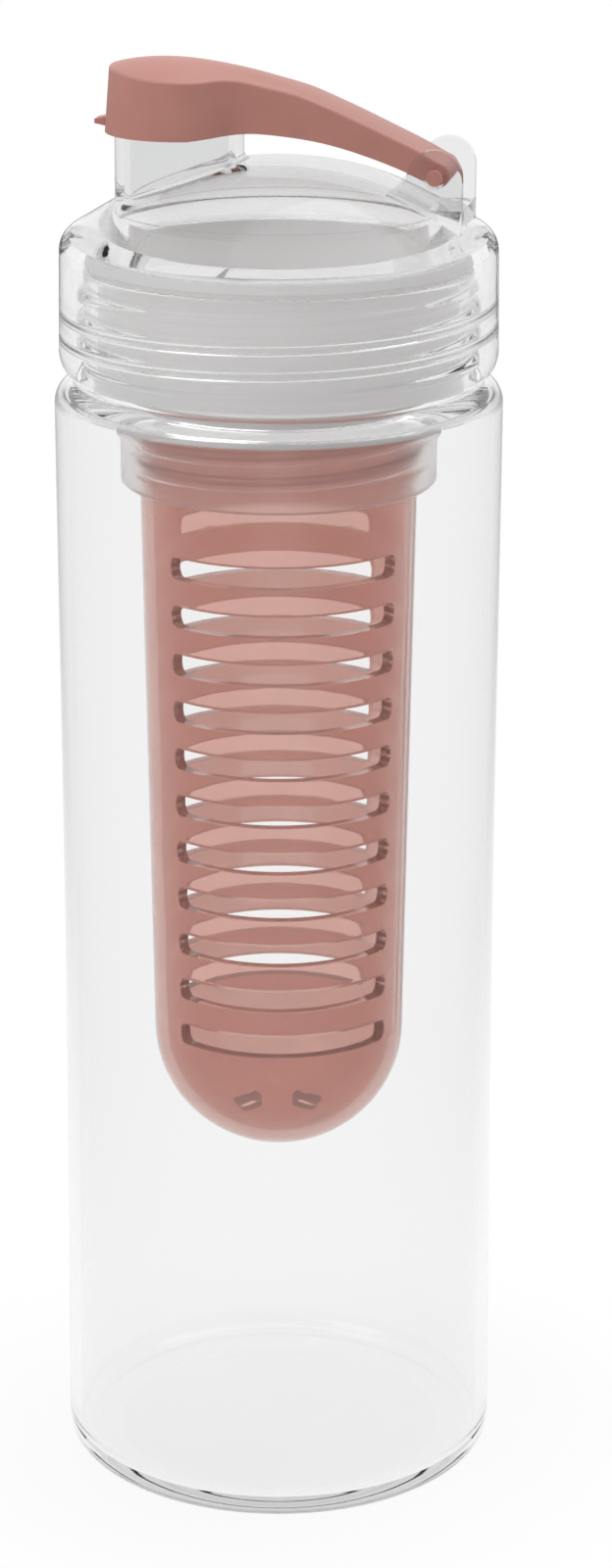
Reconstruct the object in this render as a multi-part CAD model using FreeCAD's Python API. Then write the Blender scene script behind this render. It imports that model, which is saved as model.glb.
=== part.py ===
import FreeCAD, Part
import math
import os

# Fruit infuser water bottle, in millimetres. The origin is the centre of the base, +Z is up,
# the drinking spout is on the -X side and the hinge of its flip cap on the +X side.

V = FreeCAD.Vector
AXIS = V(0, 0, 1)
FULL = 360.0

# bottle body
base_r = 36.3
body_r = 36.0
body_h = 186.2
waist_in = 0.45
side_shares = ((0.06, 0.1), (0.14, 0.42), (0.22, 0.7), (0.3, 0.89), (0.38, 0.98), (0.46, 1.0),
               (0.54, 0.95), (0.64, 0.8), (0.76, 0.5), (0.88, 0.19))
body_wall = 2.0
base_round = 4.2
base_floor = 3.2
base_dish = 1.4
dish_share = 0.75
floor_round = 3.0
shoulder_round = 3.6
shoulder_t = 3.0
shoulder_inner_round = 1.4
neck_set_in = 4.8
neck_wall = 1.9
neck_h = 18.2
neck_root_round = 0.8
rim_round = 0.5
mouth_round = 0.8

# seals and fits
gasket_t = 1.2
gasket_inset = 0.2
thread_gap = 1.2
slip_gap = 0.3
press_gap = 0.02
seal_gap = 0.2
pivot_gap = 0.06

# lid
lid_set_in = 0.8
lid_draft = 0.3
lid_lift_gap = 1.2
lid_lip_in = 1.5
lid_lip_h = 3.6
lid_wall = 2.4
lid_corner_round = 4.0
slope_fall_share = 0.6
ring_lip = 0.15
dome_share = 0.765
dome_rise = 7.5
ring_rise = 5.7
plug_wall = 1.8
plug_depth = 7.4

# drinking spout
spout_edge_gap = 0.628
spout_r = 10.3
spout_top_r = 9.4
spout_bore_r = 7.9
spout_rise = 10.4
spout_taper_h = 7.4
spout_lip_round = 0.6
spout_foot_round = 0.8

# hinge ears
hinge_set_in = 9.2
hinge_drop = 1.2
ear_r = 4.35
ear_gap = 12.5
ear_t = 2.2
ear_flare = 4.2
ear_flare_drop = 3.6
ear_edge_round = 0.4
ear_rib_t = 5.5
ear_rib_drop = 5.3
pivot_r = 1.22
pivot_rim = 0.4

# flip cap
cap_r = 11.8
cap_top_r = 10.9
cap_bore_r = 10.5
cap_over = 6.6
cap_crown = 4.85
cap_roof = 3.25
crown_drop = 2.65
cap_edge_round = 0.5
arm_half_w = 6.05
arm_end_half_w = 5.0
arm_blend_r = 9.0
arm_end_x = 8.0
arm_wall = 1.5
arm_roof = 1.8
arm_nose_r = 2.0
nub_w = 3.4
nub_out = 1.6
nub_t = 1.8
nub_tip_t = 0.7
nub_lift = 0.5

# top of the cap and its arm: shares of the run from spout to hinge, of the rise to the crown and of the
# crown's drop to the sides
cap_top_shares = ((-0.4, 0.78, 1.0), (-0.286, 0.908, 1.0), (-0.19, 0.975, 1.0), (-0.095, 1.0, 1.0),
                  (0.0, 1.0, 1.0), (0.095, 0.978, 1.05), (0.19, 0.943, 1.2), (0.286, 0.9, 1.6),
                  (0.381, 0.838, 1.4), (0.476, 0.765, 1.0), (0.571, 0.666, 0.85), (0.667, 0.561, 0.8),
                  (0.762, 0.446, 0.65), (0.864, 0.321, 0.45), (0.924, 0.243, 0.25), (1.0217, 0.1082, 0.0))
crown_row_shares = (-1.5, -0.75, 0, 0.75, 1.5)
arm_under_shares = ((0.085, 0.304), (0.162, 0.326), (0.298, 0.351), (0.412, 0.335), (0.564, 0.281),
                    (0.714, 0.18), (0.888, 0.017), (0.943, -0.047))
channel_shares = (0.33, 0.80)

# spout seal
seal_r = 10.2
seal_plug_r = 7.1
seal_plug_depth = 1.3

# infuser collar
flange_t = 1.4
flange_out = 0.2
sleeve_wall = 1.8
ring_set_in = 3.8
ring_h = 16.5
ring_chamfer = 0.5
ring_flare_h = 3.4
ring_top_drop = 2.4
stop_in = 1.9
stop_t = 1.6

# infuser basket
basket_set_in = 6.9
basket_taper = 1.55
basket_wall = 1.9
basket_thread_gap = 0.9
basket_neck_show = 3.4
basket_rim_chamfer = 0.5
basket_len = 110.0
slot_count = 11
slot_h = 3.55
slot_half_turn = 53.0
slot_reach_shares = (0.3, 1.2)
slot_first_drop = 12.95
slot_last_rise = 1.1
slot_turn = 13.5
hole_ring_share = 0.36
hole_len = 6.4
hole_w = 2.4
hole_count = 4

# levels and radii that follow from the sizes above
neck_r = body_r - neck_set_in
neck_bore_r = neck_r - neck_wall
rim_z = body_h + neck_h
flange_z = rim_z + gasket_t
flange_top_z = flange_z + flange_t
ledge_z = flange_top_z + gasket_t
lid_r = body_r - lid_set_in
lid_bore_r = neck_r + thread_gap
hinge_x = lid_r - hinge_set_in
lid_z = body_h + lid_lift_gap
sleeve_r = neck_bore_r - slip_gap
sleeve_bore_r = sleeve_r - sleeve_wall
plug_r = sleeve_bore_r - press_gap
plug_bore_r = plug_r - plug_wall
dome_r = lid_r * dome_share
spout_x = spout_r + spout_edge_gap - dome_r
dome_edge_z = ledge_z + ring_rise
dome_top_z = dome_edge_z + dome_rise
spout_top_z = dome_top_z + spout_rise
hinge_z = dome_top_z - hinge_drop
cap_z = spout_top_z - cap_over
cap_top_z = spout_top_z + cap_crown
cap_ceiling_z = cap_top_z - cap_roof
basket_r = neck_bore_r - basket_set_in
basket_low_r = basket_r - basket_taper
collar_bore_r = basket_r + basket_thread_gap
ring_r = neck_bore_r - ring_set_in
ring_top_z = body_h - ring_top_drop
ring_z = body_h - ring_h
stop_z = ring_top_z + ring_flare_h
basket_top_z = stop_z - gasket_t
bowl_z = basket_top_z - basket_len


def arc_mid(start, end, tangent):
    """Middle point of the arc that leaves start along tangent and ends at end."""
    chord = end - start
    along = V(tangent)
    along.normalize()
    unit = V(chord)
    unit.normalize()
    turn = along.getAngle(unit)
    side = along - unit * along.dot(unit)
    if side.Length > 0:
        side.normalize()
    return start + chord * 0.5 + side * (chord.Length * 0.5 * math.tan(turn * 0.5))


def crown_tangent(run, rise):
    """Direction in which a spherical cap of this run and rise leaves its edge towards the axis."""
    return rise * rise - run * run, run * rise * 2


def corner_cut(before, corner, after, radius):
    """Start, middle and end of the rounding of one corner."""
    back = before - corner
    back.normalize()
    ahead = after - corner
    ahead.normalize()
    half = back.getAngle(ahead) * 0.5
    reach = radius / math.tan(half)
    first = corner + back * reach
    last = corner + ahead * reach
    middle = back + ahead
    middle.normalize()
    centre = corner + middle * (radius / math.sin(half))
    return first, centre - middle * radius, last


def outline(corners):
    """Closed wire in the XZ plane from (x, z) or (x, z, rounding) corners, or (x, z, None, tangent)
    for a corner that is reached by an arc leaving the one before it along the tangent."""
    points = [V(c[0], 0, c[1]) for c in corners]
    count = len(points)
    marks = []
    for i, c in enumerate(corners):
        if len(c) == 3 and c[2] > 0:
            marks.append(corner_cut(points[i - 1], points[i], points[(i + 1) % count], c[2]))
        else:
            marks.append((points[i], None, points[i]))
    edges = []
    for i, c in enumerate(corners):
        start = marks[i - 1][2]
        end = marks[i][0]
        if len(c) == 4:
            edges.append(Part.Arc(start, arc_mid(start, end, V(c[3][0], 0, c[3][1])), end).toShape())
        elif start.distanceToPoint(end) > 0:
            edges.append(Part.makeLine(start, end))
        if marks[i][1]:
            edges.append(Part.Arc(marks[i][0], marks[i][1], marks[i][2]).toShape())
    return Part.Wire(edges)


def turned(corners, centre_x=0):
    """Solid of revolution about a vertical axis at centre_x."""
    solid = Part.Face(outline(corners)).revolve(V(0, 0, 0), AXIS, FULL)
    solid.translate(V(centre_x, 0, 0))
    return solid


def ring(inner_r, outer_r, low_z, height):
    high_z = low_z + height
    return turned([(inner_r, low_z), (outer_r, low_z), (outer_r, high_z), (inner_r, high_z)])


def side_point(share):
    """Point on the faintly waisted side, from a share of the height and one of the waist's depth."""
    return base_r + (body_r - base_r) * share[0] - waist_in * share[1], body_h * share[0]


def bottle_body():
    inner_low = base_r - body_wall
    inner_r = body_r - body_wall
    side = [side_point(s) for s in side_shares]
    inside = [(r - body_wall, z) for r, z in reversed(side)]
    dish_r = base_r * dish_share
    under_z = body_h - shoulder_t
    return turned([
        (0, base_dish + base_floor), (0, base_dish),
        (dish_r, 0, None, (1, 0)), (base_r, 0, base_round)] + side + [
        (body_r, body_h, shoulder_round), (neck_r, body_h, neck_root_round),
        (neck_r, rim_z, rim_round), (neck_bore_r, rim_z, rim_round),
        (neck_bore_r, under_z, mouth_round), (inner_r, under_z, shoulder_inner_round)] + inside + [
        (inner_low, base_floor, floor_round),
        (dish_r, base_floor), (0, base_floor + base_dish, None, crown_tangent(dish_r, base_dish))])


def lid_outside():
    slope_z = dome_edge_z + ring_lip
    shoulder_r = lid_r - lid_draft
    shoulder_z = slope_z - (shoulder_r - dome_r) * slope_fall_share
    lip_top_z = lid_z + lid_lip_h
    shell = turned([
        (0, lid_z), (0, dome_top_z), (dome_r, dome_edge_z, None, (1, 0)), (dome_r, slope_z),
        (shoulder_r, shoulder_z, lid_corner_round), (lid_r, lip_top_z),
        (lid_r - lid_lip_in, lid_z, None, (0, -1))])
    taper_z = spout_top_z - spout_taper_h
    spout = turned([(0, ledge_z), (spout_r, ledge_z), (spout_r, taper_z),
                    (spout_top_r, spout_top_z, spout_lip_round), (0, spout_top_z)], spout_x)
    joined = shell.fuse(spout)
    return joined.makeFillet(spout_foot_round, [e for e in joined.Edges if on_spout_foot(e)])


def on_spout_foot(edge):
    """True for the edges where the spout leaves the dome."""
    middle = edge.valueAt((edge.FirstParameter + edge.LastParameter) * 0.5)
    reach = math.hypot(middle.x - spout_x, middle.y)
    near_wall = abs(reach - spout_r) < pivot_gap
    return near_wall and middle.z < dome_top_z and middle.z > ledge_z and edge.Length > spout_r


def lid_ears():
    left_x = hinge_x - ear_r
    right_x = hinge_x + ear_r
    top = Part.Arc(V(left_x, 0, hinge_z), V(hinge_x, 0, hinge_z + ear_r),
                   V(right_x, 0, hinge_z)).toShape()
    flare = V(left_x - ear_flare, 0, hinge_z - ear_flare_drop)
    low_left = V(left_x - ear_flare, 0, ledge_z)
    low_right = V(right_x, 0, ledge_z)
    wire = Part.Wire([top, Part.makeLine(V(right_x, 0, hinge_z), low_right),
                      Part.makeLine(low_right, low_left), Part.makeLine(low_left, flare),
                      Part.makeLine(flare, V(left_x, 0, hinge_z))])
    ear = Part.Face(wire).extrude(V(0, ear_t, 0))
    ear = ear.makeFillet(ear_edge_round, [e for e in ear.Edges if on_ear_rim(e)])
    near = ear.copy()
    near.translate(V(0, -ear_gap / 2 - ear_t, 0))
    ear.translate(V(0, ear_gap / 2, 0))
    rib_h = hinge_z - ear_rib_drop - ledge_z
    rib = Part.makeBox(ear_rib_t, ear_gap, rib_h, V(right_x - ear_rib_t, -ear_gap / 2, ledge_z))
    return ear.fuse([near, rib])


def on_ear_rim(edge):
    """True for the edges round the free outline of an ear."""
    box = edge.BoundBox
    middle = edge.valueAt((edge.FirstParameter + edge.LastParameter) * 0.5)
    return box.YLength < pivot_gap and middle.x > hinge_x - ear_r and middle.z > ledge_z + ear_t


def lid_shell():
    inner_top_z = dome_top_z - lid_wall
    inner_dome_r = (dome_r * dome_r + dome_rise * dome_rise) / (dome_rise + dome_rise) - lid_wall
    inner_edge_z = inner_top_z - inner_dome_r + math.sqrt(inner_dome_r ** 2 - plug_bore_r ** 2)
    cavity = turned([
        (0, lid_z), (lid_bore_r, lid_z), (lid_bore_r, ledge_z), (plug_r, ledge_z),
        (plug_r, ledge_z - plug_depth), (plug_bore_r, ledge_z - plug_depth),
        (plug_bore_r, inner_edge_z),
        (0, inner_top_z, None, crown_tangent(plug_bore_r, inner_top_z - inner_edge_z))])
    bore = Part.makeCylinder(spout_bore_r, spout_top_z - ledge_z, V(spout_x, 0, ledge_z), AXIS)
    hole_r = pivot_r + pivot_gap
    span = ear_gap + ear_t * 2
    pivot = Part.makeCylinder(hole_r, span, V(hinge_x, -span / 2, hinge_z), V(0, 1, 0))
    rim = Part.makeCone(hole_r + pivot_rim, hole_r, pivot_rim, V(hinge_x, -span / 2, hinge_z), V(0, 1, 0))
    far_rim = rim.mirror(V(0, 0, 0), V(0, 1, 0))
    return lid_outside().fuse(lid_ears()).cut([cavity, bore, pivot, rim, far_rim]).removeSplitter()


def arm_point(share):
    x = spout_x + (hinge_x - spout_x) * share[0]
    z = hinge_z + (cap_top_z - hinge_z) * share[1]
    return V(x, 0, z)


def smooth(points):
    curve = Part.BSplineCurve()
    curve.interpolate(points)
    return curve.toShape()


def cap_top():
    """Top face of the cap and arm, crowned across its width and flat at the hinge."""
    rows = []
    for share in cap_top_shares:
        middle = arm_point(share)
        row = []
        for across in crown_row_shares:
            row.append(middle + V(0, across * cap_r, -crown_drop * share[2] * across * across))
        rows.append(row)
    surface = Part.BSplineSurface()
    surface.interpolate(rows)
    return surface.toShape()


def cap_side():
    """Side view of the cap and arm, as a slab across the whole width under the crowned top."""
    top = [arm_point(s) for s in cap_top_shares]
    under = [arm_point(s) for s in arm_under_shares]
    under[0].z = cap_z
    under.append(V(hinge_x, 0, hinge_z - arm_nose_r))
    head_low = V(top[0].x, 0, cap_z)
    high_z = cap_top_z + cap_roof
    nose = Part.Arc(top[-1], V(hinge_x + arm_nose_r, 0, hinge_z), under[-1]).toShape()
    high_b = V(top[-1].x, 0, high_z)
    high_a = V(top[0].x, 0, high_z)
    wire = Part.Wire([
        nose, smooth(under), Part.makeLine(under[0], head_low), Part.makeLine(head_low, high_a),
        Part.makeLine(high_a, high_b), Part.makeLine(high_b, top[-1])])
    slab = Part.Face(wire).extrude(V(0, cap_r * 2, 0))
    slab.translate(V(0, -cap_r, 0))
    above = cap_top().extrude(V(0, 0, cap_top_z))
    return slab.cut(above)


def cap_plan(head_r, z):
    """Plan outline: round head, concave blends and the narrow arm."""
    rise = arm_half_w + arm_blend_r
    run = math.sqrt((head_r + arm_blend_r) ** 2 - rise ** 2)
    blend_x = spout_x + run
    share = head_r / (head_r + arm_blend_r)
    touch = V(spout_x + run * share, rise * share, z)
    leave = V(blend_x, arm_half_w, z)
    end = V(hinge_x + arm_end_x, arm_end_half_w, z)
    blend_mid = V(blend_x, rise, z) + unit_mid(touch - V(blend_x, rise, z), leave - V(blend_x, rise, z))
    half = [Part.makeLine(end, leave), Part.Arc(leave, blend_mid, touch).toShape()]
    head = Part.Arc(touch, V(spout_x - head_r, 0, z), flip(touch)).toShape()
    back = [Part.Arc(flip(touch), flip(blend_mid), flip(leave)).toShape(),
            Part.makeLine(flip(leave), flip(end)), Part.makeLine(flip(end), end)]
    return Part.Wire(half + [head] + back)


def unit_mid(first, last):
    """Vector of the blend's radius half way between two of its radii."""
    middle = first + last
    middle.normalize()
    return middle * arm_blend_r


def flip(point):
    return V(point.x, -point.y, point.z)


def arm_channel():
    """Hollow under the arm that keeps its wall even."""
    start = arm_point((channel_shares[0], 0)).x
    end = arm_point((channel_shares[1], 0)).x
    roof = smooth([arm_point(s) - V(0, 0, arm_roof) for s in cap_top_shares])
    ends = roof.Vertexes
    low_a = V(ends[0].X, 0, ledge_z)
    low_b = V(ends[1].X, 0, ledge_z)
    wire = Part.Wire([roof, Part.makeLine(ends[1].Point, low_b), Part.makeLine(low_b, low_a),
                      Part.makeLine(low_a, ends[0].Point)])
    width = (arm_end_half_w - arm_wall) * 2
    slab = Part.Face(wire).extrude(V(0, width, 0))
    slab.translate(V(0, -width / 2, 0))
    window = Part.makeBox(end - start, width * 2, cap_top_z - ledge_z, V(start, -width, ledge_z))
    return slab.common(window)


def thumb_nub():
    root_x = spout_x - cap_bore_r
    tip_x = spout_x - cap_r - nub_out
    low_z = cap_z + nub_lift
    tip_z = low_z + (nub_t - nub_tip_t) / 2
    corners = [V(root_x, 0, low_z), V(root_x, 0, low_z + nub_t), V(tip_x, 0, tip_z + nub_tip_t),
               V(tip_x, 0, tip_z), V(root_x, 0, low_z)]
    wedge = Part.Face(Part.makePolygon(corners)).extrude(V(0, nub_w, 0))
    wedge.translate(V(0, -nub_w / 2, 0))
    return wedge


def flip_cap():
    reach = cap_r * 3
    taper = (cap_r - cap_top_r) / (cap_top_z - cap_z)
    low = cap_plan(cap_r + taper * reach, cap_z - reach)
    high = cap_plan(cap_r - taper * (cap_top_z - cap_z) * 2, cap_z + (cap_top_z - cap_z) * 2)
    body = Part.makeLoft([low, high], True, True).common(cap_side())
    body = body.makeFillet(cap_edge_round, [e for e in body.Edges if on_crown(e, hinge_z)])
    cup = Part.makeCylinder(cap_bore_r, cap_ceiling_z - cap_z, V(spout_x, 0, cap_z), AXIS)
    body = body.fuse(thumb_nub()).cut([cup, arm_channel()])
    span = ear_gap + ear_t * 2 - pivot_rim
    stub = Part.makeCylinder(pivot_r, span, V(hinge_x, -span / 2, hinge_z), V(0, 1, 0))
    return body.fuse(stub).removeSplitter()


def on_crown(edge, low_z):
    """True for the edges between the top face and the flanks of the cap and arm."""
    middle = edge.valueAt((edge.FirstParameter + edge.LastParameter) * 0.5)
    if abs(middle.y) < arm_wall and middle.x > spout_x:
        return False
    ends = [v.Z for v in edge.Vertexes]
    return middle.z > low_z and near_top(middle) and min(ends) > low_z - arm_wall


def near_top(point):
    """True where a point lies on the crowned top."""
    return cap_top().distToShape(Part.Vertex(point))[0] < pivot_gap


def spout_seal():
    low_z = spout_top_z + seal_gap
    plug_z = spout_top_z - seal_plug_depth
    return turned([(0, plug_z), (seal_plug_r, plug_z, seal_gap), (seal_plug_r, low_z),
                   (seal_r, low_z), (seal_r, cap_ceiling_z), (0, cap_ceiling_z)], spout_x)


def infuser_collar():
    flange_r = neck_r + flange_out
    bore_in_r = collar_bore_r - stop_in
    web_z = stop_z + stop_t
    return turned([
        (collar_bore_r, ring_z), (ring_r - ring_chamfer, ring_z), (ring_r, ring_z + ring_chamfer),
        (ring_r, ring_top_z), (sleeve_r, stop_z), (sleeve_r, flange_z), (flange_r, flange_z),
        (flange_r, flange_top_z), (sleeve_bore_r, flange_top_z), (sleeve_bore_r, web_z),
        (bore_in_r, web_z), (bore_in_r, stop_z), (collar_bore_r, stop_z)])


def basket_shell():
    neck_z = ring_z - basket_neck_show
    inner_r = basket_r - basket_wall
    inner_low_r = basket_low_r - basket_wall
    return turned([
        (0, bowl_z - basket_low_r), (basket_low_r, bowl_z, None, (1, 0)), (basket_r, neck_z),
        (basket_r, basket_top_z, basket_rim_chamfer), (inner_r, basket_top_z, basket_rim_chamfer),
        (inner_r, neck_z), (inner_low_r, bowl_z), (0, bowl_z - inner_low_r, None, (0, -1))])


def stadium(length, width, depth):
    """Upright slab with round ends, centred on the origin, that lies along X and runs through Y."""
    end_r = width / 2
    half = length / 2 - end_r
    wire = Part.Wire([
        Part.makeLine(V(-half, 0, -end_r), V(half, 0, -end_r)),
        Part.Arc(V(half, 0, -end_r), V(half + end_r, 0, 0), V(half, 0, end_r)).toShape(),
        Part.makeLine(V(half, 0, end_r), V(-half, 0, end_r)),
        Part.Arc(V(-half, 0, end_r), V(-half - end_r, 0, 0), V(-half, 0, -end_r)).toShape()])
    slab = Part.Face(wire).extrude(V(0, depth, 0))
    slab.translate(V(0, -depth / 2, 0))
    return slab


def slot_outline(reach):
    """Round-ended outline at a distance from the axis, as long as the slot's turn makes it there."""
    end_r = slot_h / 2
    half = reach * math.tan(math.radians(slot_half_turn)) - end_r
    return Part.Wire([
        Part.makeLine(V(-half, reach, -end_r), V(half, reach, -end_r)),
        Part.Arc(V(half, reach, -end_r), V(half + end_r, reach, 0), V(half, reach, end_r)).toShape(),
        Part.makeLine(V(half, reach, end_r), V(-half, reach, end_r)),
        Part.Arc(V(-half, reach, end_r), V(-half - end_r, reach, 0), V(-half, reach, -end_r)).toShape()])


def infuser_basket():
    cuts = []
    high = ring_z - slot_first_drop + slot_h / 2
    low = bowl_z + slot_last_rise + slot_h / 2
    pitch = (high - low) / (slot_count - 1)
    wedge = Part.makeLoft([slot_outline(basket_r * s) for s in slot_reach_shares], True, True)
    for i in range(slot_count):
        for side in range(2):
            slot = wedge.copy()
            slot.rotate(V(0, 0, 0), AXIS, slot_turn + FULL / 2 * side)
            slot.translate(V(0, 0, low + pitch * i))
            cuts.append(slot)
    for i in range(hole_count):
        hole = stadium(hole_len, hole_w, basket_low_r)
        hole.rotate(V(0, 0, 0), V(1, 0, 0), FULL / 4)
        hole.translate(V(0, basket_low_r * hole_ring_share, bowl_z - basket_low_r))
        hole.rotate(V(0, 0, 0), AXIS, slot_turn + FULL / hole_count * (i + 0.5))
        cuts.append(hole)
    return basket_shell().cut(cuts)


def rim_gasket():
    return ring(neck_bore_r + gasket_inset, neck_r - gasket_inset, rim_z, gasket_t)


def collar_gasket():
    return ring(plug_r + gasket_inset, neck_r - gasket_inset, flange_top_z, gasket_t)


def basket_gasket():
    inner_r = basket_r - basket_wall + gasket_inset
    return ring(inner_r, collar_bore_r - slip_gap, basket_top_z, gasket_t)


nodes = {
    "bottle_body": bottle_body, "lid_shell": lid_shell, "flip_cap": flip_cap,
    "spout_seal": spout_seal, "infuser_collar": infuser_collar, "infuser_basket": infuser_basket,
    "rim_gasket": rim_gasket, "collar_gasket": collar_gasket, "basket_gasket": basket_gasket}

os.makedirs("parts", exist_ok=True)
for name, make in nodes.items():
    shape = make()
    solids = shape.Solids
    print(name, shape.isValid(), len(solids), round(shape.Volume, 1), shape.BoundBox)
    solids[0].exportStep("parts/" + name + ".step")
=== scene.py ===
import math

import bmesh
import bpy
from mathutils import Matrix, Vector


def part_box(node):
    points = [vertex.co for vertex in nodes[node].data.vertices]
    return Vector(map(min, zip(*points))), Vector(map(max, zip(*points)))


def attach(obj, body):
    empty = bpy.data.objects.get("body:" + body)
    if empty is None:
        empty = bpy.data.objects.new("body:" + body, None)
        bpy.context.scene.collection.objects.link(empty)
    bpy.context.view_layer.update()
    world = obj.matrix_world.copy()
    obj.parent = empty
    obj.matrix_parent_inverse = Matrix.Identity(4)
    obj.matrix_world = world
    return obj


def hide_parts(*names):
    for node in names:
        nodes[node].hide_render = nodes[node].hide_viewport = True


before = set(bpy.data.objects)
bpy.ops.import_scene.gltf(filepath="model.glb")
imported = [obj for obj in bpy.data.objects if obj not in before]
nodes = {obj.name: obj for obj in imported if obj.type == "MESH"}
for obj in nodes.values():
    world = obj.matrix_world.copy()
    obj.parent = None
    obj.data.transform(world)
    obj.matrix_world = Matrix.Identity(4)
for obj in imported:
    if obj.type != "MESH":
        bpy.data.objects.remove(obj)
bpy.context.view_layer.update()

# Fruit infuser water bottle. Everything is in metres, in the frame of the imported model.
MM = 0.001
FULL_TURN = math.tau

# sizes of the clear body, read off its solid where its box shows them
BODY_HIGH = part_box("bottle_body")[1]
RIM_Z = BODY_HIGH.z
BASE_R = 36.3 * MM
BODY_R = 36.0 * MM
BODY_H = RIM_Z - 18.2 * MM
WAIST_IN = 0.45 * MM
BODY_WALL = 2.0 * MM
BASE_ROUND = 4.2 * MM
BASE_FLOOR = 3.2 * MM
BASE_DISH = 1.4 * MM
DISH_SHARE = 0.75
DISH_R = BASE_R * DISH_SHARE
FLOOR_ROUND = 3.0 * MM
SHOULDER_ROUND = 3.6 * MM
SHOULDER_T = 3.0 * MM
SHOULDER_INNER_ROUND = 1.4 * MM
NECK_R = BODY_R - 4.8 * MM
NECK_BORE_R = NECK_R - 1.9 * MM
NECK_ROOT_ROUND = 0.8 * MM
RIM_ROUND = 0.5 * MM
MOUTH_ROUND = 0.8 * MM
# the neck's straight wall begins this share of a rounding away from the corner
PAST_ROUND_SHARE = 1.2
# powers that put the waist a little below the middle and soften its ends
WAIST_LOW_POWER = 0.85
WAIST_SOFT_POWER = 1.5

# painted shade: the lid's thick dome and spout get a greyer tint than its skirt, which darkens them; the
# tint changes between these heights
DOME_LOW_Z = RIM_Z + 5.0 * MM
DOME_FULL_Z = RIM_Z + 11.0 * MM

# sizes of the frosted collar
COLLAR_LOW, COLLAR_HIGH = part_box("infuser_collar")
BASKET_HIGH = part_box("infuser_basket")[1]
RING_Z = COLLAR_LOW.z
FLANGE_TOP_Z = COLLAR_HIGH.z
FLANGE_R = COLLAR_HIGH.x
FLANGE_T = 1.4 * MM
SLEEVE_R = NECK_BORE_R - 0.3 * MM
SLEEVE_WALL = 1.8 * MM
RING_R = NECK_BORE_R - 3.8 * MM
RING_TOP_Z = BODY_H - 2.4 * MM
STOP_Z = RING_TOP_Z + 3.4 * MM
STOP_T = 1.6 * MM
STOP_IN = 1.9 * MM
BASKET_R = BASKET_HIGH.x
BASKET_WALL = 1.9 * MM
COLLAR_BORE_R = BASKET_R + 0.9 * MM
COLLAR_CHAMFER = 0.5 * MM

# the collar's ring is clearer than its sleeve; it turns milky between these heights
MILK_LOW_Z = RING_TOP_Z - 3.4 * MM
MILK_FULL_Z = RING_TOP_Z - 2.4 * MM
RING_MILK_SHARE = 0.08
SLEEVE_MILK_SHARE = 0.82
VEIL_SKIN_SHARE = 0.5

# flat seals
SEAL_INSET = 0.2 * MM
SEAL_EASE = 0.05 * MM
SEAL_ROUND = 0.3 * MM

# screw threads, all right-handed with one pitch
PITCH = 4.0 * MM
THREAD_FADE = 1.2 * MM
THREAD_CREST_SHARE = 0.16
THREAD_ROOT_SHARE = 0.5
ON_WALL = 0.05 * MM
OFF_WALL = 0.06 * MM
NECK_THREAD_H = 1.0 * MM
NECK_THREAD_LOW_Z = BODY_H + 2.6 * MM
NECK_THREAD_HIGH_Z = RIM_Z - 1.6 * MM
NECK_THREAD_TURN = 0.1
COLLAR_THREAD_H = 0.7 * MM
COLLAR_THREAD_LOW_Z = RING_Z + 1.6 * MM
COLLAR_THREAD_HIGH_Z = STOP_Z - 1.2 * MM
RIDGE_W = 1.5 * MM
RIDGE_SINK = 0.12 * MM
RIDGE_FADE_SHARE = 0.06
RIDGE_TIP_SHARE = 0.1
LID_THREAD_R = NECK_R + 1.2 * MM
LID_THREAD_H = 0.75 * MM
LID_THREAD_LOW_Z = BODY_H + 4.0 * MM
LID_THREAD_TURNS = 2.4
LID_THREAD_TURN = 0.05
BASKET_THREAD_H = 0.65 * MM
BASKET_THREAD_LOW_Z = RING_Z + 3.4 * MM
BASKET_THREAD_TURNS = 2.6
BASKET_THREAD_TURN = 0.45

# how finely the turned and wound pieces are divided
BODY_SEGMENTS = 256
COLLAR_SEGMENTS = 224
SEAL_SEGMENTS = 192
SEAL_ARC_STEPS = 4
SIDE_STEPS = 24
DISH_STEPS = 10
ROWS_PER_PITCH = 24
LID_THREAD_STEPS = 420
BASKET_THREAD_STEPS = 320
RIDGE_ARC_STEPS = 10
SAME_POINT = 0.001 * MM
COLLAR_SHARP = math.radians(30)
RIDGE_SHARP = math.radians(50)

# depth of the finest surface relief
MOULD_RIPPLE = 0.02 * MM
CAP_GRAIN = 0.03 * MM
BASKET_RIPPLE = 0.05 * MM
FROST_GRAIN = 0.02 * MM
SEAL_GRAIN = 0.02 * MM

# colours of the finishes, and the share of lamp light that passes each wall
WHITE = (1, 1, 1, 1)
BODY_TINT = (0.958, 0.959, 0.959, 1)
LID_TINT = (0.975, 0.976, 0.976, 1)
# painted shade: greyer tint that darkens the lid's dome and spout
DOME_PAINTED_SHADE = (0.84, 0.842, 0.843, 1)
DEPTH_TINT = (0.5, 0.5, 0.5, 1)
CAP_DARK = (0.49, 0.213, 0.172, 1)
CAP_LIGHT = (0.53, 0.236, 0.193, 1)
BASKET_DARK = (0.79, 0.455, 0.385, 1)
BASKET_LIGHT = (0.83, 0.485, 0.415, 1)
RING_DARK = (0.99, 0.965, 0.955, 1)
RING_LIGHT = (0.998, 0.98, 0.972, 1)
SLEEVE_DARK = (0.962, 0.972, 0.974, 1)
SLEEVE_LIGHT = (0.977, 0.987, 0.989, 1)
VEIL_COLOUR = (0.975, 0.978, 0.978, 1)
SEAL_DARK = (0.94, 0.945, 0.945, 1)
SEAL_LIGHT = (0.97, 0.972, 0.972, 1)
CLEAR_PASS = (0.985, 0.985, 0.985, 1)
BASKET_PASS = (0.45, 0.26, 0.22, 1)
FROST_PASS = (0.97, 0.96, 0.955, 1)
SEAL_PASS = (0.85, 0.85, 0.85, 1)

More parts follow.
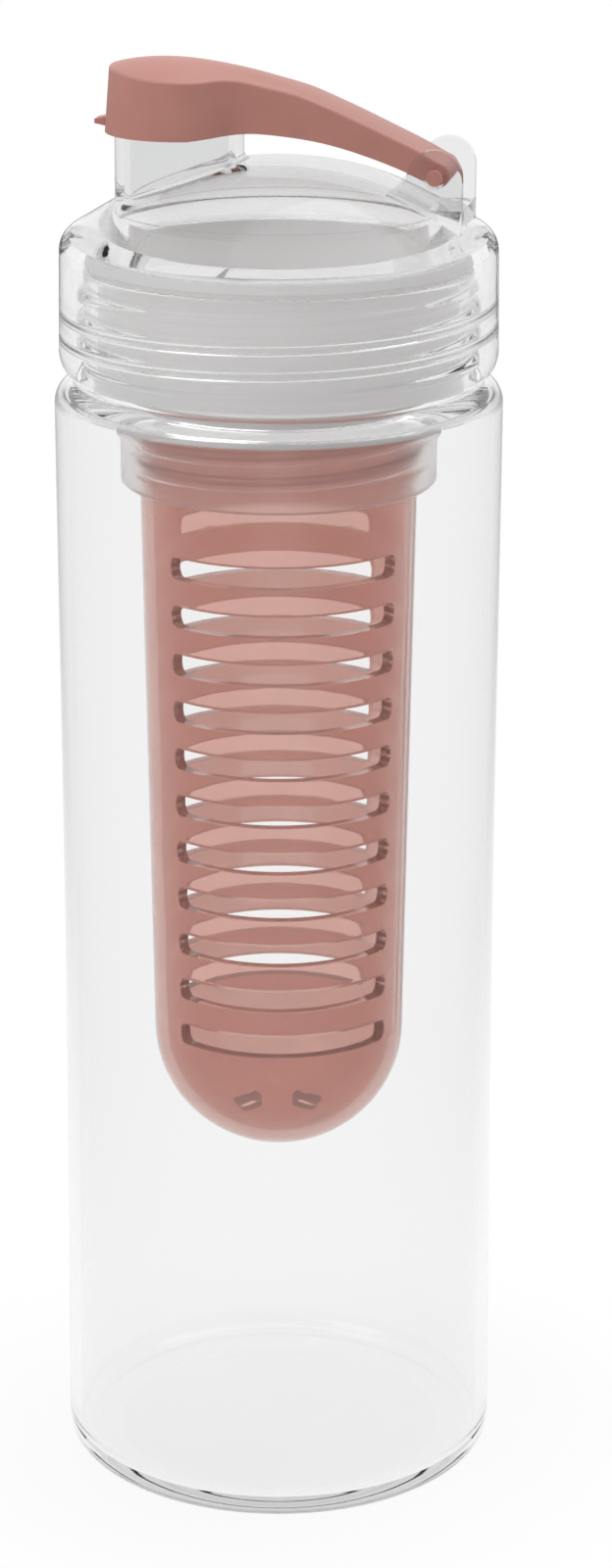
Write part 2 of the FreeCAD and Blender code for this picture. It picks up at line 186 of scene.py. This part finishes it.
# studio: paper floor with grey flags at its sides, white tent with a grey opening in front, two softboxes;
# the tent's limits are parts of a direction of unit length
FLOOR_REACH = 6.0
PAPER_DARK = (0.90, 0.90, 0.90, 1)
PAPER_LIGHT = (0.92, 0.92, 0.92, 1)
SHADOW_R = 36 * MM
CLEAN_R = 80 * MM
SHADOW_WHITE_SHARE = 0.85
FLAG_GREY = (0.3, 0.3, 0.3, 1)
FLAG_NEAR = 50 * MM
FLAG_FULL = 250 * MM
TENT_TOP = (0.72, 0.72, 0.73, 1)
TENT_DIM_FROM = 0.2
TENT_DIM_FULL = 0.9
OPENING_GREY = (0.3, 0.3, 0.3, 1)
OPENING_SIDE = 0.74
OPENING_MIDDLE = 0.86
OPENING_LEVEL = 0.2
OPENING_REACH = 0.3
OPENING_FULL_REACH = 0.2
HIDDEN_THROUGH_WALLS = 0.7
EVEN_LIGHT = 0.48
SOFTBOX_AIM = (0, 0, 0.15)
KEY_PLACE = (-0.5, -0.5, 1.1)
KEY_SIZE = 0.9
KEY_WATTS = 5.5
TOP_PLACE = (0.2, 0.3, 1.2)
TOP_SIZE = 0.8
TOP_WATTS = 4.5
LONG_PATH = 40
MIRROR_PATH = 12

# camera of the photograph: distance from the axis, height, turn to the right and tilt down
CAMERA_AWAY = 643.3 * MM
CAMERA_HIGH = 326.3 * MM
CAMERA_TURN = math.radians(10.6)
CAMERA_TILT = math.radians(17.99)
FRAME_LONG_PX = 1600
FRAME_MIDDLE_PX = 312
AXIS_PX = 284.3
FOCAL_PX = 4163
SENSOR_LONG = 36.0
CLIP_START = 10 * MM


class Link:
    """An output socket that takes part in sums, products and other maths of its node tree."""

    def __init__(self, tree, socket):
        self.tree = tree
        self.socket = socket

    def maths(self, operation, *values):
        inputs = dict(enumerate(values))
        return self.tree.add("ShaderNodeMath", {"operation": operation}, inputs)

    def __add__(self, other):
        return self.maths("ADD", self, other)

    def __sub__(self, other):
        return self.maths("SUBTRACT", self, other)

    def __rsub__(self, other):
        return self.maths("SUBTRACT", other, self)

    def __mul__(self, other):
        return self.maths("MULTIPLY", self, other)

    def __truediv__(self, other):
        return self.maths("DIVIDE", self, other)

    def __pow__(self, other):
        return self.maths("POWER", self, other)

    def larger(self, other):
        return self.maths("MAXIMUM", self, other)

    def absolute(self):
        return self.maths("ABSOLUTE", self)

    def ramp(self, low, high, low_value=0.0, high_value=1.0):
        """Smooth step from low_value to high_value while this value goes from low to high."""
        return self.tree.add("ShaderNodeMapRange", {"interpolation_type": "SMOOTHSTEP"}, {
            "Value": self, "From Min": low, "From Max": high, "To Min": low_value, "To Max": high_value})


class Tree:
    """Builds the nodes of a material, the world or a geometry tree."""

    def __init__(self, tree):
        self.tree = tree

    def node(self, kind, settings=None, inputs=None):
        made = self.tree.nodes.new(kind)
        for name, value in (settings or {}).items():
            setattr(made, name, value)
        for key, value in (inputs or {}).items():
            if isinstance(value, Link):
                self.tree.links.new(value.socket, made.inputs[key])
            else:
                made.inputs[key].default_value = value
        return made

    def add(self, kind, settings=None, inputs=None, output=0):
        return Link(self, self.node(kind, settings, inputs).outputs[output])

    def mixed(self, share, first, second):
        """Colour between two colours."""
        made = self.node("ShaderNodeMix", {"data_type": "RGBA"}, {0: share, 6: first, 7: second})
        return Link(self, made.outputs[2])

    def rays(self, *kinds):
        """For each kind of light ray, a value that is 1 for such a ray and 0 for others."""
        path = self.node("ShaderNodeLightPath")
        return [Link(self, path.outputs[f"Is {kind} Ray"]) for kind in kinds]


class Finish(Tree):
    """A material under construction."""

    def __init__(self, name):
        self.material = bpy.data.materials.new(name)
        self.material.use_nodes = True
        super().__init__(self.material.node_tree)
        self.tree.nodes.clear()
        self.place = self.add("ShaderNodeTexCoord", output="Object")

    def height(self):
        """Height above the base."""
        split = self.node("ShaderNodeSeparateXYZ", {}, {0: self.place})
        return Link(self, split.outputs[2])

    def noise(self, scale, detail=3.0, roughness=0.5):
        return self.add("ShaderNodeTexNoise", {}, {
            "Vector": self.place, "Scale": scale, "Detail": detail, "Roughness": roughness})

    def bump(self, height, distance, strength):
        return self.add("ShaderNodeBump", {}, {
            "Height": height, "Distance": distance, "Strength": strength})

    def principled(self, **inputs):
        named = {key.replace("_", " "): value for key, value in inputs.items()}
        return self.add("ShaderNodeBsdfPrincipled", {}, named)

    def lets_lamps_through(self, shader, tint):
        """Lamps and bounced light reach what stands behind or inside the clear wall."""
        shadow, bounced = self.rays("Shadow", "Diffuse")
        clear = self.add("ShaderNodeBsdfTransparent", {}, {"Color": tint})
        return self.add("ShaderNodeMixShader", {}, {0: shadow.larger(bounced), 1: shader, 2: clear})

    def depth_tint(self, colour, density):
        """Colour that a clear solid gains with the depth of material that light crosses."""
        return self.add("ShaderNodeVolumeAbsorption", {}, {"Color": colour, "Density": density})

    def finish(self, shader, depth=None):
        inputs = {"Surface": shader}
        if depth:
            inputs["Volume"] = depth
        self.node("ShaderNodeOutputMaterial", {}, inputs)
        return self.material


def clear_plastic(name, tint, top_painted_shade, bend, haze, smudge, gloss, density):
    """See-through plastic with faint ripples from the mould and fingertip smudges under a polished skin.
    Above the lid's slope the tint goes over to top_painted_shade, a greyer tint that paints shade there."""
    finish = Finish(name)
    # painted shade: the tint darkens above the lid's slope
    painted_shade_share = finish.height().ramp(DOME_LOW_Z, DOME_FULL_Z)
    ripple = finish.noise(scale=55.0, detail=2.0)
    patches = finish.noise(scale=140.0, detail=4.0, roughness=0.6).ramp(low=0.45, high=0.75)
    glass = finish.principled(
        Base_Color=finish.mixed(painted_shade_share, tint, top_painted_shade), Roughness=patches * smudge + haze, IOR=bend,
        Transmission_Weight=1.0, Coat_Weight=gloss, Coat_Roughness=0.02,
        Normal=finish.bump(ripple, MOULD_RIPPLE, strength=0.04))
    depth = finish.depth_tint(DEPTH_TINT, density)
    return finish.finish(finish.lets_lamps_through(glass, CLEAR_PASS), depth)


def coral_cap_plastic():
    """Opaque satin plastic with a fine spark-eroded grain."""
    finish = Finish("coral_cap_satin")
    cloud = finish.noise(scale=90.0)
    grain = finish.noise(scale=4200.0, detail=2.0)
    colour = finish.mixed(cloud.ramp(low=0.3, high=0.7), CAP_DARK, CAP_LIGHT)
    body = finish.principled(
        Base_Color=colour, Roughness=cloud * 0.14 + 0.36, Specular_IOR_Level=0.5,
        Normal=finish.bump(grain, CAP_GRAIN, strength=0.25))
    return finish.finish(body)


def coral_basket_plastic():
    """Tinted see-through plastic with a faint flow pattern."""
    finish = Finish("coral_basket_tinted")
    flow = finish.noise(scale=60.0)
    ripple = finish.noise(scale=120.0, detail=2.0)
    colour = finish.mixed(flow.ramp(low=0.3, high=0.7), BASKET_DARK, BASKET_LIGHT)
    body = finish.principled(
        Base_Color=colour, Roughness=flow * 0.04 + 0.02, IOR=1.45, Transmission_Weight=0.8,
        Normal=finish.bump(ripple, BASKET_RIPPLE, strength=0.2))
    return finish.finish(finish.lets_lamps_through(body, BASKET_PASS))


def frosted_plastic():
    """Milky plastic that blurs what is behind it, densest where the sleeve hangs in the neck."""
    finish = Finish("collar_frosted")
    milk = finish.noise(scale=70.0)
    grain = finish.noise(scale=2600.0, detail=2.0)
    sleeve = finish.height().ramp(MILK_LOW_Z, MILK_FULL_Z)
    ring_colour = finish.mixed(milk, RING_DARK, RING_LIGHT)
    sleeve_colour = finish.mixed(milk, SLEEVE_DARK, SLEEVE_LIGHT)
    colour = finish.mixed(sleeve, ring_colour, sleeve_colour)
    body = finish.principled(
        Base_Color=colour, Roughness=sleeve * 0.2 + milk * 0.1 + 0.28, IOR=1.08, Transmission_Weight=1.0,
        Coat_Weight=0.2, Coat_Roughness=0.15, Normal=finish.bump(grain, FROST_GRAIN, strength=0.3))
    veil = finish.add("ShaderNodeBsdfTranslucent", {}, {"Color": VEIL_COLOUR})
    skin = finish.principled(Base_Color=colour, Roughness=0.6, Specular_IOR_Level=0.05)
    milky = finish.add("ShaderNodeMixShader", {}, {0: VEIL_SKIN_SHARE, 1: veil, 2: skin})
    milk_share = sleeve * SLEEVE_MILK_SHARE + RING_MILK_SHARE
    frost = finish.add("ShaderNodeMixShader", {}, {0: milk_share, 1: body, 2: milky})
    return finish.finish(finish.lets_lamps_through(frost, FROST_PASS))


def seal_silicone():
    """Soft, almost clear silicone."""
    finish = Finish("seal_silicone")
    cloud = finish.noise(scale=160.0)
    grain = finish.noise(scale=900.0)
    colour = finish.mixed(cloud, SEAL_DARK, SEAL_LIGHT)
    body = finish.principled(
        Base_Color=colour, Roughness=cloud * 0.15 + 0.15, Transmission_Weight=0.95, IOR=1.1,
        Normal=finish.bump(grain, SEAL_GRAIN, strength=0.3))
    return finish.finish(finish.lets_lamps_through(body, SEAL_PASS))


def rounded(corners, steps=8):
    """Points of an outline of (r, z) or (r, z, rounding) corners, each rounding as an arc."""
    points = []
    count = len(corners)
    for i, corner in enumerate(corners):
        here = Vector(corner[:2])
        if len(corner) < 3:
            points.append(here)
            continue
        back = (Vector(corners[i - 1][:2]) - here).normalized()
        ahead = (Vector(corners[(i + 1) % count][:2]) - here).normalized()
        half = back.angle(ahead) / 2
        middle = (back + ahead).normalized()
        centre = here + middle * (corner[2] / math.sin(half))
        first = here + back * (corner[2] / math.tan(half)) - centre
        last = here + ahead * (corner[2] / math.tan(half)) - centre
        for k in range(steps + 1):
            blend = k / steps
            points.append(centre + first.slerp(last, blend) * corner[2])
    return points


def winding_rows(shape, low, high, per_pitch):
    """Fills the wall between two level rings with rows that climb like the thread, so that its ridge
    follows them."""
    segments = len(low)
    low_z, high_z = low[0].co.z, high[0].co.z
    step = PITCH / per_pitch
    made = {}

    def spot(row, k):
        if k == segments:
            row, k = row + per_pitch, 0
        z = low_z + row * step + PITCH * k / segments
        if z <= low_z or z >= high_z:
            return low[k] if z <= low_z else high[k]
        if (row, k) not in made:
            made[row, k] = shape.verts.new((low[k].co.x, low[k].co.y, z))
        return made[row, k]

    for row in range(-per_pitch, math.ceil((high_z - low_z) / step)):
        for k in range(segments):
            around = (spot(row, k), spot(row, k + 1), spot(row + 1, k + 1), spot(row + 1, k))
            corners = list(dict.fromkeys(around))
            if len(corners) > 2:
                shape.faces.new(corners)


def lathe(name, points, segments, threaded=None):
    """Closed mesh turned about the axis from an outline. The wall that starts at the point threaded gets
    winding rows."""
    shape = bmesh.new()
    rings = []
    for r, z in points:
        if r <= 0:
            rings.append([shape.verts.new((0, 0, z))])
            continue
        turns = [FULL_TURN * k / segments for k in range(segments)]
        rings.append([shape.verts.new((r * math.cos(a), r * math.sin(a), z)) for a in turns])
    for i, (low, high) in enumerate(zip(rings, rings[1:] + rings[:1])):
        if len(low) == len(high) == 1:
            continue
        if threaded and (Vector(points[i]) - Vector(threaded)).length < SAME_POINT:
            winding_rows(shape, *sorted((low, high), key=lambda ring: ring[0].co.z), ROWS_PER_PITCH)
            continue
        for k in range(segments):
            follow = (k + 1) % segments
            around = (low[k % len(low)], low[follow % len(low)],
                      high[follow % len(high)], high[k % len(high)])
            shape.faces.new(list(dict.fromkeys(around)))
    mesh = bpy.data.meshes.new(name)
    shape.to_mesh(mesh)
    shape.free()
    mesh.shade_smooth()
    piece = bpy.data.objects.new(name, mesh)
    bpy.context.scene.collection.objects.link(piece)
    return piece


def tree_with(name, sockets):
    """Geometry tree with named number inputs, a material and one geometry output."""
    tree = bpy.data.node_groups.new(name, "GeometryNodeTree")
    tree.interface.new_socket("Geometry", in_out="INPUT", socket_type="NodeSocketGeometry")
    for label in sockets:
        tree.interface.new_socket(label, in_out="INPUT", socket_type="NodeSocketFloat")
    tree.interface.new_socket("Material", in_out="INPUT", socket_type="NodeSocketMaterial")
    tree.interface.new_socket("Geometry", in_out="OUTPUT", socket_type="NodeSocketGeometry")
    maker = Tree(tree)
    given = maker.node("NodeGroupInput")
    return maker, {s.name: Link(maker, s) for s in given.outputs if s.name}


def closing(maker, geometry, material):
    """Ends a geometry tree with smooth, real geometry in its material."""
    smooth = maker.add("GeometryNodeSetShadeSmooth", {}, {"Geometry": geometry})
    real = maker.add("GeometryNodeRealizeInstances", {}, {"Geometry": smooth})
    dressed = maker.add("GeometryNodeSetMaterial", {}, {"Geometry": real, "Material": material})
    maker.node("NodeGroupOutput", {}, {"Geometry": dressed})
    return maker.tree


def wall_thread_tree():
    """Raises a screw thread on one round wall of a turned piece."""
    maker, given = tree_with("wall_thread", (
        "Wall Radius", "Height", "Pitch", "Low", "High", "Fade", "Turn", "Crest Share", "Root Share"))
    place = maker.add("GeometryNodeInputPosition")
    split = maker.node("ShaderNodeSeparateXYZ", {}, {0: place})
    x, y, z = (Link(maker, s) for s in split.outputs)
    reach = (x * x + y * y) ** 0.5
    angle = y.maths("ARCTAN2", y, x) / FULL_TURN
    turn = (z - given["Low"]) / given["Pitch"] - angle + given["Turn"]
    off_crest = (turn.maths("FRACT", turn) - 0.5).absolute() * 2
    ridge = 1 - off_crest.ramp(given["Crest Share"], given["Root Share"])
    ends = (z - given["Low"]).ramp(0, given["Fade"]) * (given["High"] - z).ramp(0, given["Fade"])
    on_wall = 1 - (reach - given["Wall Radius"]).absolute().ramp(ON_WALL, OFF_WALL)
    rise = ridge * ends * on_wall * given["Height"]
    outward = maker.add("ShaderNodeCombineXYZ", {}, {"X": x / reach * rise, "Y": y / reach * rise})
    moved = maker.add("GeometryNodeSetPosition", {}, {"Geometry": given["Geometry"], "Offset": outward})
    return closing(maker, moved, given["Material"])


def ridge_tree():
    """A free helical ridge of rounded section that stands on a round wall."""
    maker, given = tree_with("thread_ridge", (
        "Wall Radius", "Height", "Sink", "Pitch", "Low", "Turns", "Turn", "Width"))
    place = maker.add("GeometryNodeInputPosition")
    split = maker.node("ShaderNodeSeparateXYZ", {}, {0: place})
    along, across, level = (Link(maker, s) for s in split.outputs)
    ends = along.ramp(0, RIDGE_FADE_SHARE) * (1 - along).ramp(0, RIDGE_FADE_SHARE)
    width = given["Width"] * (ends * (1 - RIDGE_TIP_SHARE) + RIDGE_TIP_SHARE)
    reach = given["Wall Radius"] - given["Sink"] + (given["Height"] * ends + given["Sink"]) * level
    angle = (along * given["Turns"] + given["Turn"]) * FULL_TURN
    z = given["Low"] + along * given["Turns"] * given["Pitch"] + across * width
    spot = maker.add("ShaderNodeCombineXYZ", {}, {
        "X": reach * angle.maths("COSINE", angle), "Y": reach * angle.maths("SINE", angle), "Z": z})
    moved = maker.add("GeometryNodeSetPosition", {}, {"Geometry": given["Geometry"], "Position": spot})
    return closing(maker, moved, given["Material"])


def shaped(piece, tree, material, **sizes):
    """Gives the piece the tree's result as its plain mesh."""
    modifier = piece.modifiers.new("shape", "NODES")
    modifier.node_group = tree
    sockets = {s.name: s.identifier for s in tree.interface.items_tree if s.in_out == "INPUT"}
    for name, value in sizes.items():
        modifier[sockets[name.replace("_", " ")]] = value
    modifier[sockets["Material"]] = material
    seen = piece.evaluated_get(bpy.context.evaluated_depsgraph_get())
    mesh = bpy.data.meshes.new_from_object(seen)
    piece.modifiers.remove(modifier)
    mesh.name = piece.name
    piece.data = mesh


def ridge_blank(name, steps):
    """Half-round bar of unit length along x, to be wound into a ridge. It is one unit wide along y, with
    its middle at 0, and one unit high along z."""
    shape = bmesh.new()
    arch = [math.pi * k / RIDGE_ARC_STEPS for k in range(RIDGE_ARC_STEPS + 1)]
    section = [(-math.cos(a) / 2, math.sin(a)) for a in arch]
    rings = []
    for k in range(steps + 1):
        rings.append([shape.verts.new((k / steps, y, z)) for y, z in section])
    for first, second in zip(rings, rings[1:]):
        for k in range(len(section)):
            follow = (k + 1) % len(section)
            shape.faces.new((first[k], first[follow], second[follow], second[k]))
    shape.faces.new(list(reversed(rings[0])))
    shape.faces.new(rings[-1])
    mesh = bpy.data.meshes.new(name)
    shape.to_mesh(mesh)
    shape.free()
    piece = bpy.data.objects.new(name, mesh)
    bpy.context.scene.collection.objects.link(piece)
    return piece


def outward(piece):
    """Turns every face of a closed piece outwards."""
    shape = bmesh.new()
    shape.from_mesh(piece.data)
    bmesh.ops.recalc_face_normals(shape, faces=shape.faces)
    shape.to_mesh(piece.data)
    shape.free()
    return piece


def body_side():
    """Outer side of the body from the base upwards, with its faint waist."""
    points = []
    for k in range(1, SIDE_STEPS):
        share = k / SIDE_STEPS
        waist = math.sin(math.pi * share ** WAIST_LOW_POWER) ** WAIST_SOFT_POWER
        points.append((BASE_R + (BODY_R - BASE_R) * share - WAIST_IN * waist, BODY_H * share))
    return points


def dish(level, upward):
    """Points of the shallow dish of the base, from its edge to the axis or back."""
    points = []
    for k in range(1, DISH_STEPS + 1):
        r = DISH_R * (1 - k / DISH_STEPS)
        points.append((r, level + BASE_DISH * (1 - (r / DISH_R) ** 2)))
    return points if upward else list(reversed(points))


def clear_body(material, thread):
    """Bottle body with its screw neck, turned in one piece."""
    side = body_side()
    inside = [(r - BODY_WALL, z) for r, z in reversed(side)]
    under_z = BODY_H - SHOULDER_T
    neck_low = (NECK_R, BODY_H + NECK_ROOT_ROUND * PAST_ROUND_SHARE)
    neck_high = (NECK_R, RIM_Z - RIM_ROUND * PAST_ROUND_SHARE)
    base = dish(0, False) + [(DISH_R, 0), (BASE_R, 0, BASE_ROUND)]
    neck = [
        (BODY_R, BODY_H, SHOULDER_ROUND), (NECK_R, BODY_H, NECK_ROOT_ROUND), neck_low, neck_high,
        (NECK_R, RIM_Z, RIM_ROUND), (NECK_BORE_R, RIM_Z, RIM_ROUND), (NECK_BORE_R, under_z, MOUTH_ROUND),
        (BODY_R - BODY_WALL, under_z, SHOULDER_INNER_ROUND)]
    floor = [(BASE_R - BODY_WALL, BASE_FLOOR, FLOOR_ROUND), (DISH_R, BASE_FLOOR)]
    outline = rounded(base + side + neck + inside + floor + dish(BASE_FLOOR, True))
    piece = lathe("bottle_shell", outline, BODY_SEGMENTS, neck_low)
    shaped(piece, thread, material, Wall_Radius=NECK_R, Height=NECK_THREAD_H, Pitch=PITCH,
           Low=NECK_THREAD_LOW_Z, High=NECK_THREAD_HIGH_Z, Fade=THREAD_FADE, Turn=NECK_THREAD_TURN,
           Crest_Share=THREAD_CREST_SHARE, Root_Share=THREAD_ROOT_SHARE)
    outward(piece)
    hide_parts("bottle_body")
    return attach(piece, "bottle")


def frosted_collar(material, thread):
    """Collar with its hanging sleeve, flange and threaded ring, turned in one piece."""
    sleeve_bore = SLEEVE_R - SLEEVE_WALL
    stop_r = COLLAR_BORE_R - STOP_IN
    flange_z = FLANGE_TOP_Z - FLANGE_T
    bore_high = (COLLAR_BORE_R, STOP_Z)
    corners = [
        (COLLAR_BORE_R, RING_Z), (RING_R - COLLAR_CHAMFER, RING_Z), (RING_R, RING_Z + COLLAR_CHAMFER),
        (RING_R, RING_TOP_Z), (SLEEVE_R, STOP_Z), (SLEEVE_R, flange_z), (FLANGE_R, flange_z),
        (FLANGE_R, FLANGE_TOP_Z), (sleeve_bore, FLANGE_TOP_Z), (sleeve_bore, STOP_Z + STOP_T),
        (stop_r, STOP_Z + STOP_T), (stop_r, STOP_Z), bore_high]
    piece = lathe("collar_ring", rounded(corners), COLLAR_SEGMENTS, bore_high)
    shaped(piece, thread, material, Wall_Radius=COLLAR_BORE_R, Height=-COLLAR_THREAD_H, Pitch=PITCH,
           Low=COLLAR_THREAD_LOW_Z, High=COLLAR_THREAD_HIGH_Z, Fade=THREAD_FADE, Turn=0.0,
           Crest_Share=THREAD_CREST_SHARE, Root_Share=THREAD_ROOT_SHARE)
    outward(piece)
    piece.data.set_sharp_from_angle(angle=COLLAR_SHARP)
    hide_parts("infuser_collar")
    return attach(piece, "lid")


def seal_ring(name, node, body, inner_r, material, most_r=BODY_R):
    """Flat gasket with softly rounded edges, a hair thinner than the space that it fills and no wider than
    most_r from its axis."""
    low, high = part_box(node)
    low_z, high_z = low.z + SEAL_EASE, high.z - SEAL_EASE
    outer_r = min(high.x, most_r)
    corners = [(inner_r, low_z, SEAL_ROUND), (outer_r, low_z, SEAL_ROUND), (outer_r, high_z, SEAL_ROUND),
               (inner_r, high_z, SEAL_ROUND)]
    piece = outward(lathe(name, rounded(corners, SEAL_ARC_STEPS), SEAL_SEGMENTS))
    piece.data.materials.append(material)
    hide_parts(node)
    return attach(piece, body)


def lid_thread(material, ridge):
    """Thread inside the lid's skirt."""
    piece = ridge_blank("lid_thread", LID_THREAD_STEPS)
    shaped(piece, ridge, material, Wall_Radius=LID_THREAD_R, Height=-LID_THREAD_H, Sink=-RIDGE_SINK,
           Pitch=PITCH, Low=LID_THREAD_LOW_Z, Turns=LID_THREAD_TURNS, Turn=LID_THREAD_TURN,
           Width=RIDGE_W)
    outward(piece)
    piece.data.set_sharp_from_angle(angle=RIDGE_SHARP)
    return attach(piece, "lid")


def basket_thread(material, ridge):
    """Thread round the basket's mouth."""
    piece = ridge_blank("basket_thread", BASKET_THREAD_STEPS)
    shaped(piece, ridge, material, Wall_Radius=BASKET_R, Height=BASKET_THREAD_H, Sink=RIDGE_SINK,
           Pitch=PITCH, Low=BASKET_THREAD_LOW_Z, Turns=BASKET_THREAD_TURNS, Turn=BASKET_THREAD_TURN,
           Width=RIDGE_W)
    outward(piece)
    piece.data.set_sharp_from_angle(angle=RIDGE_SHARP)
    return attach(piece, "basket")


def dress(node, material):
    """Gives a solid that stays as it is its finish."""
    slots = nodes[node].data.materials
    slots.clear()
    slots.append(material)


def floor_paper():
    """Paper that looks white to the eye and through clear walls, and keeps a soft shadow near the bottle.
    Grey flags at its sides show only in mirror reflections, where they draw the outlines of clear walls."""
    finish = Finish("floor_paper")
    direct, glossy, passed = finish.rays("Camera", "Glossy", "Transmission")
    seen = direct.larger(glossy).larger(passed)
    # a ray that has passed a clear wall counts as glossy too
    mirrored = glossy - passed
    fibre = finish.noise(scale=35.0)
    shade = finish.mixed(fibre, PAPER_DARK, PAPER_LIGHT)
    paper = finish.add("ShaderNodeBsdfDiffuse", {}, {"Color": shade})
    white = finish.add("ShaderNodeEmission", {}, {"Color": WHITE, "Strength": 1.0})
    away = finish.add("ShaderNodeVectorMath", {"operation": "LENGTH"}, {0: finish.place}, "Value")
    clean = away.ramp(SHADOW_R, CLEAN_R, SHADOW_WHITE_SHARE, 1.0)
    bright = finish.add("ShaderNodeMixShader", {}, {0: clean, 1: paper, 2: white})
    aside = finish.add("ShaderNodeVectorMath", {"operation": "DOT_PRODUCT"}, {
        0: finish.place, 1: (math.cos(CAMERA_TURN), math.sin(CAMERA_TURN), 0)}, "Value").absolute()
    flag = finish.add("ShaderNodeEmission", {}, {"Color": FLAG_GREY, "Strength": 1.0})
    flag_share = mirrored * aside.ramp(FLAG_NEAR, FLAG_FULL)
    flagged = finish.add("ShaderNodeMixShader", {}, {0: flag_share, 1: bright, 2: flag})
    return finish.finish(finish.add("ShaderNodeMixShader", {}, {0: seen, 1: paper, 2: flagged}))


def studio_floor():
    """Level sheet of paper under the bottle."""
    mesh = bpy.data.meshes.new("studio_floor")
    corners = [(-FLOOR_REACH, -FLOOR_REACH, 0), (FLOOR_REACH, -FLOOR_REACH, 0),
               (FLOOR_REACH, FLOOR_REACH, 0), (-FLOOR_REACH, FLOOR_REACH, 0)]
    mesh.from_pydata(corners, [], [(0, 1, 2, 3)])
    mesh.materials.append(floor_paper())
    floor = bpy.data.objects.new("studio_floor", mesh)
    bpy.context.scene.collection.objects.link(floor)


def studio_world():
    """Pale room: even light on dull surfaces, and for clear and shiny ones a white tent, dimmer overhead,
    with a grey opening in front that shows less through clear walls."""
    world = bpy.data.worlds.new("studio_world")
    world.use_nodes = True
    world.node_tree.nodes.clear()
    bpy.context.scene.world = world
    maker = Tree(world.node_tree)
    direct, glossy, passed = maker.rays("Camera", "Glossy", "Transmission")
    seen = direct.larger(glossy).larger(passed)
    way = maker.add("ShaderNodeTexCoord", output="Generated")
    split = maker.node("ShaderNodeSeparateXYZ", {}, {0: way})
    height = Link(maker, split.outputs[2])
    tent = maker.mixed(height.ramp(TENT_DIM_FROM, TENT_DIM_FULL), WHITE, TENT_TOP)
    ahead = maker.add("ShaderNodeVectorMath", {"operation": "DOT_PRODUCT"}, {
        0: way, 1: (math.sin(CAMERA_TURN), -math.cos(CAMERA_TURN), 0)}, "Value")
    off_level = (height - OPENING_LEVEL).absolute()
    opening = ahead.ramp(OPENING_SIDE, OPENING_MIDDLE) * off_level.ramp(OPENING_REACH, OPENING_FULL_REACH)
    room = maker.mixed(opening * (1 - passed * HIDDEN_THROUGH_WALLS), tent, OPENING_GREY)
    shown = maker.add("ShaderNodeBackground", {}, {"Color": room, "Strength": 1.0})
    even = maker.add("ShaderNodeBackground", {}, {"Color": WHITE, "Strength": EVEN_LIGHT})
    both = maker.add("ShaderNodeMixShader", {}, {0: seen, 1: even, 2: shown})
    maker.node("ShaderNodeOutputWorld", {}, {"Surface": both})


def softbox(name, place, size, power):
    """Square lamp turned towards the bottle."""
    lamp = bpy.data.lights.new(name, "AREA")
    lamp.shape = "SQUARE"
    lamp.size = size
    lamp.energy = power
    box = bpy.data.objects.new(name, lamp)
    box.location = place
    box.rotation_euler = (Vector(SOFTBOX_AIM) - Vector(place)).to_track_quat("-Z", "Y").to_euler()
    bpy.context.scene.collection.objects.link(box)


def photo_camera():
    """Camera that sees the bottle as the photograph does."""
    data = bpy.data.cameras.new("photo_camera")
    data.sensor_width = SENSOR_LONG
    data.lens = FOCAL_PX / FRAME_LONG_PX * SENSOR_LONG
    data.shift_x = (FRAME_MIDDLE_PX - AXIS_PX) / FRAME_LONG_PX
    data.clip_start = CLIP_START
    camera = bpy.data.objects.new("photo_camera", data)
    across, along = math.sin(CAMERA_TURN) * CAMERA_AWAY, math.cos(CAMERA_TURN) * CAMERA_AWAY
    camera.location = (across, -along, CAMERA_HIGH)
    camera.rotation_euler = (math.pi / 2 - CAMERA_TILT, 0, CAMERA_TURN)
    bpy.context.scene.collection.objects.link(camera)
    bpy.context.scene.camera = camera


bottle_clear = clear_plastic(
    "bottle_clear", BODY_TINT, BODY_TINT, bend=1.35, haze=0.004, smudge=0.03, gloss=0.0, density=11.0)
# the lid's dome and spout take a greyer tint of painted shade
lid_clear = clear_plastic(
    "lid_clear", LID_TINT, DOME_PAINTED_SHADE, bend=1.12, haze=0.02, smudge=0.04, gloss=0.1, density=7.0)
coral_cap = coral_cap_plastic()
coral_basket = coral_basket_plastic()
frosted = frosted_plastic()
silicone = seal_silicone()

wall_thread = wall_thread_tree()
thread_ridge = ridge_tree()
clear_body(bottle_clear, wall_thread)
frosted_collar(frosted, wall_thread)
lid_thread(bottle_clear, thread_ridge)
basket_thread(coral_basket, thread_ridge)
dress("lid_shell", lid_clear)
dress("flip_cap", coral_cap)
dress("infuser_basket", coral_basket)
dress("spout_seal", silicone)
seal_ring("neck_seal", "rim_gasket", "rim_seal", NECK_BORE_R + SEAL_INSET, silicone)
seal_ring("flange_seal", "collar_gasket", "lid_seal", SLEEVE_R - SLEEVE_WALL + SEAL_INSET, silicone)
seal_ring("basket_seal_ring", "basket_gasket", "basket_seal", BASKET_R - BASKET_WALL + SEAL_INSET,
          silicone, COLLAR_BORE_R - COLLAR_THREAD_H - SEAL_EASE)

studio_floor()
studio_world()
softbox("key_softbox", KEY_PLACE, KEY_SIZE, KEY_WATTS)
softbox("top_softbox", TOP_PLACE, TOP_SIZE, TOP_WATTS)
photo_camera()

scene = bpy.context.scene
scene.view_settings.view_transform = "Standard"
scene.cycles.max_bounces = LONG_PATH
scene.cycles.transmission_bounces = LONG_PATH
scene.cycles.glossy_bounces = MIRROR_PATH
scene.cycles.transparent_max_bounces = LONG_PATH
